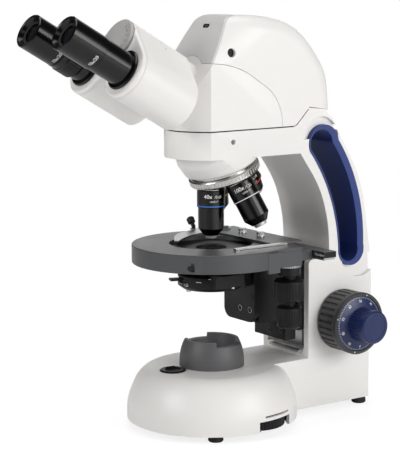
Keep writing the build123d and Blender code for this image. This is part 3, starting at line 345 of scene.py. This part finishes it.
def solid(name, parts, material, on, sharp=35.0):
    """One object from parts already in place; it rides with the node that it sits on."""
    points, faces = joined(parts)
    mesh = bpy.data.meshes.new(name)
    work = bmesh.new()
    corners = [work.verts.new(tuple(p)) for p in points * MM]
    for face in faces:
        try:
            work.faces.new([corners[i] for i in face])
        except ValueError:
            continue
    bmesh.ops.remove_doubles(work, verts=work.verts, dist=0.0005 * MM)
    bmesh.ops.recalc_face_normals(work, faces=work.faces)
    work.to_mesh(mesh)
    work.free()
    mesh.shade_smooth()
    mesh.set_sharp_from_angle(angle=math.radians(sharp))
    mesh.materials.append(material)
    piece = bpy.data.objects.new(name, mesh)
    bpy.context.scene.collection.objects.link(piece)
    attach(piece, nodes[on]["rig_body"])
    return piece


# %% [markdown]
# ## Softened edges
#
# A solid model ends in knife edges, and a real casting never does: its corners carry a small radius that
# catches the light as a thin line. Each visible node is copied, its loose triangles are merged, flat faces
# are joined, and a narrow bevel is put on every edge that turns sharply. The copy then stands for the node.

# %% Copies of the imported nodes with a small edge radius
MERGE = 0.005            # corners this close together are one, in millimetres
FLAT = math.radians(0.4)
TURN = math.radians(32)
# edge width in millimetres and material slot: the nodes that get it
EDGES = {
    (0.6, "body_paint"): "base_shell arm head_base camera_housing prism_housing_left prism_housing_right",
    (0.3, "light_grey"): "front_cover spacing_disc",
    (0.4, "grip"): "handle_lining",
    (0.3, "stage_paint"): "stage_plate carriage_plate cross_bar slide_holder lamp_house",
    (0.4, "black_metal"): "stage_bracket condenser_carrier condenser_body focus_slide stage_insert",
    (0.3, "black_plastic"): "coarse_knob_left coarse_knob_right x_knob y_knob condenser_knob switch_bezel "
                            "switch_rocker finger_knob",
    (0.25, "bright_metal"): "nosepiece_ring thumb_screws",
    (0.3, "navy_plastic"): "fine_knob_left fine_knob_right",
}


def soften(node, width):
    source = nodes[node]
    mesh = source.data.copy()
    work = bmesh.new()
    work.from_mesh(mesh)
    bmesh.ops.remove_doubles(work, verts=work.verts, dist=MERGE * MM)
    bmesh.ops.dissolve_limit(work, angle_limit=FLAT, verts=work.verts, edges=work.edges)
    work.to_mesh(mesh)
    work.free()
    mesh.shade_smooth()
    mesh.set_sharp_from_angle(angle=TURN)
    copy = bpy.data.objects.new(node + "_soft", mesh)
    bpy.context.scene.collection.objects.link(copy)
    bevel = copy.modifiers.new("edge", "BEVEL")
    bevel.width = width * MM
    bevel.segments = 2
    bevel.limit_method = "ANGLE"
    bevel.angle_limit = TURN
    bevel.harden_normals = True
    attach(copy, source["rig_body"])
    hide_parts(node)


for (width, slot_name), names in EDGES.items():
    for node in names.split():
        soften(node, width)

# %% [markdown]
# ## Figures, scales and rings
#
# Everything lettered here is a plain number: powers on the optics, hundredths on the fine dials, eye spacing
# on the disc between the tubes. Print is a thin layer of ink laid on the turned surface below it.


# %% Objectives: coloured rings, figures and the sleeves round their threads
def ink(name, place, marks, material, on):
    """One object from pieces of flat print that are already wrapped in the frame of their part."""
    return solid(name, [placed(mark, place) for mark in marks], material, on)


def round_figures(text, height, radius, level, middle, bold=0.0):
    """Figures that run round a barrel with their tops towards +z."""
    return wrapped(words(text, height, bold), (radius, level), (0, 1), middle)


BARREL_R = 11.8
# node: turn on the nosepiece, power, aperture, ring colour, bottom and top of the ring
OBJECTIVES = {
    "objective_40": (0, "40x", "/0.65", print_blue, -14.2, -13.1),
    "objective_100": (90, "100x", "/1.25", print_white, -14.5, -13.8),
    "objective_4": (180, "4x", "/0.10", print_red, -11.4, -10.5),
    "objective_10": (270, "10x", "/0.25", print_yellow, -12.9, -12.0),
}
for node, (turn_on_nose, power, aperture, colour, ring_low, ring_high) in OBJECTIVES.items():
    place = objective_place(turn_on_nose)
    front = facing(place)
    per_mm = math.degrees(1 / BARREL_R)
    ink(node + "_figures", place, [
        round_figures(power, 3.4, BARREL_R, -5.0, front - 2.6 * per_mm, 0.015),
        round_figures(aperture, 2.5, BARREL_R, -5.4, front + 6.4 * per_mm),
        round_figures("160/0.17", 1.6, BARREL_R, -9.3, front + 2.5 * per_mm),
    ], print_white, node)
    ring = lathe([(BARREL_R - 0.3, ring_low), (BARREL_R + 0.03, ring_low), (BARREL_R + 0.03, ring_high),
                  (BARREL_R - 0.3, ring_high)])
    solid(node + "_ring", [placed(ring, place)], colour, node)
    sleeve = lathe([(BARREL_R - 0.6, 0.4), (BARREL_R - 0.1, 0.4), (BARREL_R - 0.1, 2.8),
                    (BARREL_R - 0.6, 2.8)])
    solid(node + "_sleeve", [placed(sleeve, place)], anodised, "nosepiece_ring")

# %% Eyepieces: power and field, and the dark ring that holds the eye lens, in the black of painted recess shade
EYEPIECE_R = 14.6
EYE_END = 122.0          # the rim of an eyepiece above the frame of the head
for side, name in ((1, "right"), (-1, "left")):
    place = HEAD @ at(side * TUBE_PLACE[0], TUBE_PLACE[1], 0)
    front = facing(place) - 22
    ink(f"eyepiece_{name}_figures", place, [round_figures("10x/20", 2.9, EYEPIECE_R, 94.4, front, 0.01)],
        print_white, f"eyepiece_{name}")
    seat = lathe([(8.2, EYE_END - 4.1), (10.5, EYE_END - 4.1), (10.5, EYE_END - 3.6), (8.6, EYE_END - 3.8)])
    solid(f"eyepiece_{name}_stop", [placed(seat, place)], painted_recess_shade, f"eyepiece_{name}")

# %% Focusing knobs: the scale on each fine dial and four white dots on the coarse rim
DIAL = ((23.6, 57.65), (17.2, 60.05))       # outer and inner edge of the dial, as (radius, height)
DIAL_OUT = (DIAL[0][0] - DIAL[1][0], DIAL[0][1] - DIAL[1][1])
RIM_FACE = 58.4
STEP_TURN = 3.6                             # degrees from one of the hundred ticks to the next
DOT_TURNS = (72, 165, 258, 345)


def on_dial(radius):
    share = (radius - DIAL[1][0]) / DIAL_OUT[0]
    return radius, DIAL[1][1] + share * DIAL_OUT[1]


for side, name in ((1, "right"), (-1, "left")):
    place = focus_place(side)
    marks = []
    for step in range(100):
        long = 2.0 if step % 10 == 0 else 1.2
        marks.append(wrapped(strip(0.26, long), on_dial(23.3 - long / 2), DIAL_OUT, STEP_TURN * step, -1))
        if step % 10 == 0:
            marks.append(wrapped(words(str(step), 2.3, 0.01), on_dial(19.9), DIAL_OUT, STEP_TURN * step, -1))
    ink(f"fine_dial_{name}", place, marks, print_white, f"fine_knob_{name}")
    dots = [wrapped(dot(0.6), (25.1, RIM_FACE), (1, 0), 90 + side * turn, -1) for turn in DOT_TURNS]
    ink(f"coarse_dots_{name}", place, dots, print_white, f"coarse_knob_{name}")

# %% Disc between the eye tubes: scale of the eye spacing
DISC_FACE = 62.8
marks = []
for step, spacing in enumerate(range(55, 76, 5)):
    turn_here = 62 - 21 * step
    marks.append(wrapped(words(str(spacing), 1.9, 0.01), (13.4, DISC_FACE), (1, 0), turn_here, -1))
    for small in range(5 if spacing < 75 else 1):
        long = 1.5 if small == 0 else 0.8
        start = (15.6 + long / 2, DISC_FACE)
        marks.append(wrapped(strip(0.28, long), start, (1, 0), turn_here - 4.2 * small, -1))
ink("spacing_scale", HEAD, marks, print_grey, "spacing_disc")

# %% [markdown]
# ## Screws, windows and trim
#
# Small hardware sits where a solid model only has a bare face: cap screws on the condenser carrier and on the
# bracket, the window of the port, the ground strip along the slide holder and the inlay on the cross bar.
# Holes, sockets, grooves, the rack's teeth and the seam under the head get black discs, strips and walls of
# painted shade.


# %% Small hardware
def facing_front(x, y, z):
    return OPTICAL @ at(x, y, z) @ rolled(90, "X")


def cap_screw(radius, socket=0.5, height=0.3):
    """A low round head with a socket, standing on z = 0."""
    inner = radius * socket
    outline = [(inner, 0), (radius, 0), (radius, height * 0.6), (radius - 0.15, height), (inner, height)]
    return lathe(outline, 40)


def disc(radius, level=0.03):
    points, faces = dot(radius, 32)
    return points + np.array([0, 0, level]), faces


# x, z, radius and share of the socket of each screw in the front of the condenser carrier
CARRIER_FACE = 29.0
CARRIER_SCREWS = ((1.8, 95.9, 2.6, 0.86), (15.6, 96.0, 2.6, 0.86))
CARRIER_HOLES = ((9.2, 114.9, 2.0), (19.0, 108.3, 2.4))
rims = [placed(cap_screw(r, socket), facing_front(x, CARRIER_FACE, z)) for x, z, r, socket in CARRIER_SCREWS]
solid("carrier_screws", rims, nickel, "condenser_carrier")
# black discs of painted shade stand for the sockets of the screws and for the two open holes
holes = [placed(disc(r * socket), facing_front(x, CARRIER_FACE, z)) for x, z, r, socket in CARRIER_SCREWS]
holes += [placed(disc(r), facing_front(x, CARRIER_FACE, z)) for x, z, r in CARRIER_HOLES]
solid("carrier_hole_shade", holes, painted_recess_shade, "condenser_carrier")

BRACKET_FACE = 62.0
BRACKET_SCREWS = ((-0.1, 71.9), (15.8, 73.8))
heads = [placed(cap_screw(2.6, 0.55), facing_front(x, BRACKET_FACE, z)) for x, z in BRACKET_SCREWS]
solid("bracket_screws", heads, anodised, "stage_bracket")
# black discs of painted shade stand for the sockets of the bracket screws
sockets = [placed(disc(1.5), facing_front(x, BRACKET_FACE, z)) for x, z in BRACKET_SCREWS]
solid("bracket_socket_shade", sockets, painted_recess_shade, "stage_bracket")

# the condenser: aperture figures, ticks of the iris and two small clamp screws
CONDENSER_R = 28.4
marks = [wrapped(words("1.25", 2.6, 0.01), (CONDENSER_R, 122.2), (0, 1), -84)]
marks += [wrapped(strip(0.4, 1.5), (CONDENSER_R, 121.9), (0, 1), turn) for turn in (-116, -110, -104, -98)]
marks += [wrapped(strip(4.6, 0.45, 8), (CONDENSER_R, 125.7), (0, 1), -57)]
marks += [wrapped(strip(1.8, 0.45, 4), (CONDENSER_R, 128.6), (0, 1), -38)]
ink("condenser_figures", OPTICAL, marks, print_white, "condenser_body")
CLAMP_SCREWS = ((-1.6, -22.4, 115.3), (27.4, 2.5, 119.3))
pins = [placed(lathe([(0, 0), (1.7, 0), (2.0, 0.3), (2.0, 1.8), (0, 1.8)], 32), OPTICAL @ at(*spot))
        for spot in CLAMP_SCREWS]
solid("condenser_clamps", pins, nickel, "condenser_body")

# carriage: bright ribbed collar over the stage knobs; the grooves between its ribs are dark strips of painted
# shade
KNOB_PLACE = OPTICAL @ at(50.6, 44.0, 0)
collar = lathe([(9.4, 137.0), (9.75, 137.0), (9.9, 137.3), (9.9, 139.1), (9.75, 139.4), (9.4, 139.4)])
solid("knob_collar", [placed(collar, KNOB_PLACE)], steel, "carriage_plate")
sleeve = lathe([(9.3, 130.36), (9.55, 130.36), (9.55, 137.0), (9.3, 137.0)])
solid("knob_sleeve", [placed(sleeve, KNOB_PLACE)], matt_black, "carriage_plate")
grooves = [wrapped(strip(0.45, 1.7), (9.92, 138.2), (0, 1), turn) for turn in range(0, 360, 9)]
ink("knob_groove_shade", KNOB_PLACE, grooves, painted_recess_shade, "carriage_plate")

# stage: a black dot of painted shade for the hole of a lock pin at the end of the seam in its rim
solid("rim_hole_shade", [placed(wrapped(dot(2.2, 24), (67.1, 144.2), (0, 1), -50.0), OPTICAL)], painted_recess_shade,
      "stage_plate")

# slide holder: ground strip along its arm; cross bar: black inlay, scale, screw, and the teeth of its rack
# drawn as dark blocks of painted shade
STRIP = ((44.1, 48.06), (-9.06, 43.9), (155.4, 156.86))
solid("holder_strip", [placed(box(*STRIP), OPTICAL)], nickel, "slide_holder")
BAR_FACE = 61.0
solid("bar_inlay", [placed(box((60.1, 75.7), (BAR_FACE - 0.04, BAR_FACE + 0.2), (145.7, 150.3)), OPTICAL)],
      matt_black, "cross_bar")
solid("bar_end", [placed(box((75.8, 76.04), (61.3, 73.3), (145.7, 150.3)), OPTICAL)],
      matt_black, "cross_bar")
solid("bar_screw", [placed(cap_screw(1.5, 0.45), facing_front(63.4, BAR_FACE, 148.0))], nickel, "cross_bar")
bar_marks = [placed(strip(0.3, 1.5 if step % 5 else 2.4), facing_front(x, BAR_FACE - 0.08, 147.6))
             for step, x in enumerate(np.arange(66.0, 75.1, 1.0))]
solid("bar_scale", bar_marks, print_white, "cross_bar")
teeth = [box((x, x + 0.6), (61.9, 62.3), (143.5, 145.2)) for x in np.arange(-45.0, 73.0, 1.3)]
solid("rack_tooth_shade", [placed(joined(teeth), OPTICAL)], painted_recess_shade, "cross_rack")
holder_marks = [placed(strip(0.3, 1.6 if step % 5 else 2.6), OPTICAL @ at(x, 57.2, 156.83))
                for step, x in enumerate(np.arange(-20.0, 40.1, 2.0))]
solid("holder_scale", holder_marks, print_white, "slide_holder")

# head: smoked window of the port, whose dark also paints the shade in its recess, and black discs of painted
# shade in the sockets of the sunk screws
TILT = math.radians(30)
PORT_X, PORT_Z = -1.0, 336.5
port_y = -37.55 + 9.4 / math.cos(TILT) + (PORT_Z - 296.08) * math.tan(TILT)
PORT_PLACE = OPTICAL @ at(PORT_X, port_y, PORT_Z) @ rolled(60, "X")


def stadium(width, height, low, high, steps=16):
    """An upright block whose outline is a slot."""
    radius, half = height / 2, (width - height) / 2
    angle = np.linspace(-np.pi / 2, np.pi / 2, steps)
    right_end = np.stack([half + radius * np.cos(angle), radius * np.sin(angle)], 1)
    outline = np.vstack([right_end, -right_end])
    count = len(outline)
    points = [(x, y, z) for z in (low, high) for x, y in outline]
    faces = [tuple(range(count)), tuple(range(count, 2 * count))]
    faces += [(i, (i + 1) % count, count + (i + 1) % count, count + i) for i in range(count)]
    return points, faces


window = placed(stadium(8.9, 3.7, -0.88, -0.25), PORT_PLACE)
solid("port_window", [window], smoke_and_port_shade, "camera_housing")
light = placed(stadium(4.4, 1.3, -0.27, -0.2), PORT_PLACE)
solid("port_light", [light], print_grey, "camera_housing")
SCREW_PLACE = [OPTICAL @ at(side * 28.85, -0.8, 315.2) @ rolled(90 * side, "Y") for side in (1, -1)]
# black discs of painted shade for the sockets of the sunk screws
screw_sockets = [placed(disc(1.5, 0.06), place) for place in SCREW_PLACE]
solid("housing_socket_shade", screw_sockets, painted_recess_shade, "camera_housing")


def seam_wall(inset, thick, low, high, rear):
    """A thin upright wall that follows the nose and the two sides of the stand at a depth inside them."""
    rings = []
    for depth in (inset, inset + thick):
        radius, half = NOSE_R - depth, STAND_HALF - depth
        reach = math.asin(half / radius)
        angle = np.linspace(-reach, reach, 41)
        front = np.stack([radius * np.sin(angle), -radius * np.cos(angle)], 1)
        rings.append(np.vstack([front, [(half, rear - depth), (-half, rear - depth)], front[:1]]))
    rows = [(rings[0], low), (rings[0], high), (rings[1], high), (rings[1], low), (rings[0], low)]
    points = np.vstack([np.column_stack([ring, np.full(len(ring), z)]) for ring, z in rows])
    return points, grid_faces(len(rows), len(rings[0]))


NOSE_R = 39.0
STAND_HALF = 32.2
STAND_REAR = 62.8
SEAM_LOW, SEAM_HIGH = 251.22, 252.17
# a black wall in the gap between the arm and the head paints the shade of the seam
seam = seam_wall(0.35, 0.3, SEAM_LOW, SEAM_HIGH, STAND_REAR)
solid("head_seam_painted_shade", [placed(seam, OPTICAL)], painted_recess_shade, "head_base")


def lying_on(point, normal):
    """A frame on a skin: its z stands square on the skin."""
    return OPTICAL @ at(*point) @ Vector(normal).to_track_quat("Z", "Y").to_matrix().to_4x4()


index = placed(strip(0.7, 2.2), lying_on((15.92, -54.86, 319.73), (0.59, 0.4, 0.7)))
solid("spacing_index", [index], print_grey, "prism_housing_right")
# a black disc of painted shade for a small screw hole in the right prism housing
screw = placed(disc(0.9, 0.05), lying_on((12.12, -109.1, 291.34), (-0.43, -0.9, 0.04)))
solid("housing_screw_hole_shade", [screw], painted_recess_shade, "prism_housing_right")

# %% [markdown]
# ## Camera and studio
#
# The photograph was taken from the front right, a little above the stage, with a long lens. The camera is
# set from its turn about the stand, its pitch and its distance. The floor and the world are white where the
# camera sees them, and the lamps are large and soft, as in a light tent.

# %% Camera
AXIS_Y = 6.6 * MM                  # the optical axis lies this far behind the middle of the instrument
CAMERA_TURN = math.radians(55.18)
CAMERA_PITCH = math.radians(8.85)
CAMERA_ROLL = math.radians(-0.33)
CAMERA_DISTANCE = 1.38688
CAMERA_AIM = (-0.00934, 0.16781)   # across the view and up, from the foot of the optical axis
LENS = 130.4

forward = Vector((-math.sin(CAMERA_TURN) * math.cos(CAMERA_PITCH),
                  math.cos(CAMERA_TURN) * math.cos(CAMERA_PITCH), -math.sin(CAMERA_PITCH)))
right = Vector((math.cos(CAMERA_TURN), math.sin(CAMERA_TURN), 0))
target = Vector((0, AXIS_Y, CAMERA_AIM[1])) + right * CAMERA_AIM[0]
turn = Matrix((right, right.cross(forward), -forward)).transposed() @ Matrix.Rotation(CAMERA_ROLL, 3, "Z")
camera_data = bpy.data.cameras.new("camera")
camera_data.lens = LENS
camera_data.sensor_fit = "VERTICAL"
camera_data.sensor_height = 36.0
camera_data.clip_end = 20.0
camera = bpy.data.objects.new("camera", camera_data)
camera.matrix_world = Matrix.Translation(target - forward * CAMERA_DISTANCE) @ turn.to_4x4()
bpy.context.scene.collection.objects.link(camera)
bpy.context.scene.camera = camera

# %% World, floor and lamps
bpy.context.scene.view_settings.view_transform = "Standard"
WORLD_LIGHT = 0.06
world = bpy.data.worlds.new("studio")
world.use_nodes = True
bpy.context.scene.world = world
tree = world.node_tree
rays = add(tree, "LightPath").outputs
seen = add(tree, "Math", {0: rays["Is Camera Ray"], 1: rays["Is Transmission Ray"]}, operation="MAXIMUM")
level = add(tree, "MapRange", {"Value": seen.outputs["Value"], "To Min": WORLD_LIGHT, "To Max": 1.0})
sky = tree.nodes["Background"]
sky.inputs["Color"].default_value = (1, 1, 1, 1)
tree.links.new(level.outputs["Result"], sky.inputs["Strength"])


def floor_material():
    """White paper: matt, and lifted for the camera, wholly at a distance, so that only near shadows show."""
    material = bpy.data.materials.new("studio_paper")
    material.use_nodes = True
    paper = material.node_tree
    shader = paper.nodes["Principled BSDF"]
    shader.inputs["Roughness"].default_value = 0.9
    shader.inputs["Specular IOR Level"].default_value = 0.0
    place = add(paper, "TexCoord").outputs["Object"]
    distance = add(paper, "VectorMath", {0: place}, operation="LENGTH").outputs["Value"]
    far = add(paper, "MapRange", {"Value": distance, "From Min": PAPER_FADE[0], "From Max": PAPER_FADE[1]},
              interpolation_type="SMOOTHSTEP").outputs["Result"]
    seen = add(paper, "LightPath").outputs["Is Camera Ray"]
    near_tone = add(paper, "Mix", {"Factor": far, "A": linear("#8E8E8E"), "B": linear("#000000")},
                    data_type="RGBA")
    tone = add(paper, "Mix", {"Factor": seen, "A": linear("#F6F6F6"), "B": near_tone.outputs["Result"]},
               data_type="RGBA")
    paper.links.new(tone.outputs["Result"], shader.inputs["Base Color"])
    lift = add(paper, "MapRange", {"Value": far, "To Min": PAPER_LIFT, "To Max": 1.0}).outputs["Result"]
    strength = add(paper, "Math", {0: seen, 1: lift}, operation="MULTIPLY")
    glow = add(paper, "Emission", {"Strength": strength.outputs["Value"]})
    both = add(paper, "AddShader", {0: shader.outputs["BSDF"], 1: glow.outputs["Emission"]})
    paper.links.new(both.outputs["Shader"], paper.nodes["Material Output"].inputs["Surface"])
    return material


PAPER_LIFT = 0.82                  # share of white that the paper shows the camera next to the instrument
PAPER_FADE = (0.28, 0.75)          # metres from its foot over which the paper goes to plain white
FLOOR_HALF = 6.0
floor_mesh = bpy.data.meshes.new("floor")
corners = [(x * FLOOR_HALF, y * FLOOR_HALF, 0) for x, y in ((-1, -1), (1, -1), (1, 1), (-1, 1))]
floor_mesh.from_pydata(corners, [], [(0, 1, 2, 3)])
floor = bpy.data.objects.new("floor", floor_mesh)
floor_mesh.materials.append(floor_material())
bpy.context.scene.collection.objects.link(floor)

MIDDLE = Vector((0, AXIS_Y, 0.17))
# direction from the instrument, distance in metres, side of the panel, power in watts
LAMPS = {
    "side_right": ((0.88, 0.38, 0.27), 1.6, 0.8, 11.3),
    "side_wide": ((1.0, 0.0, 0.25), 1.6, 1.2, 6.3),
    "fill_front": ((-0.05, -0.93, 0.38), 1.8, 0.7, 12.6),
    "top": ((-0.1, 0.0, 1.0), 1.7, 1.4, 17.0),
    "back_low": ((-0.80, 0.58, 0.16), 1.8, 1.3, 5.0),
}
for name, (direction, distance, side, power) in LAMPS.items():
    lamp_data = bpy.data.lights.new(name, "AREA")
    lamp_data.size = side
    lamp_data.energy = power
    lamp_light = bpy.data.objects.new(name, lamp_data)
    away = Vector(direction).normalized()
    lamp_light.location = MIDDLE + away * distance
    lamp_light.rotation_euler = away.to_track_quat("Z", "Y").to_euler()
    lamp_light.visible_camera = False
    bpy.context.scene.collection.objects.link(lamp_light)
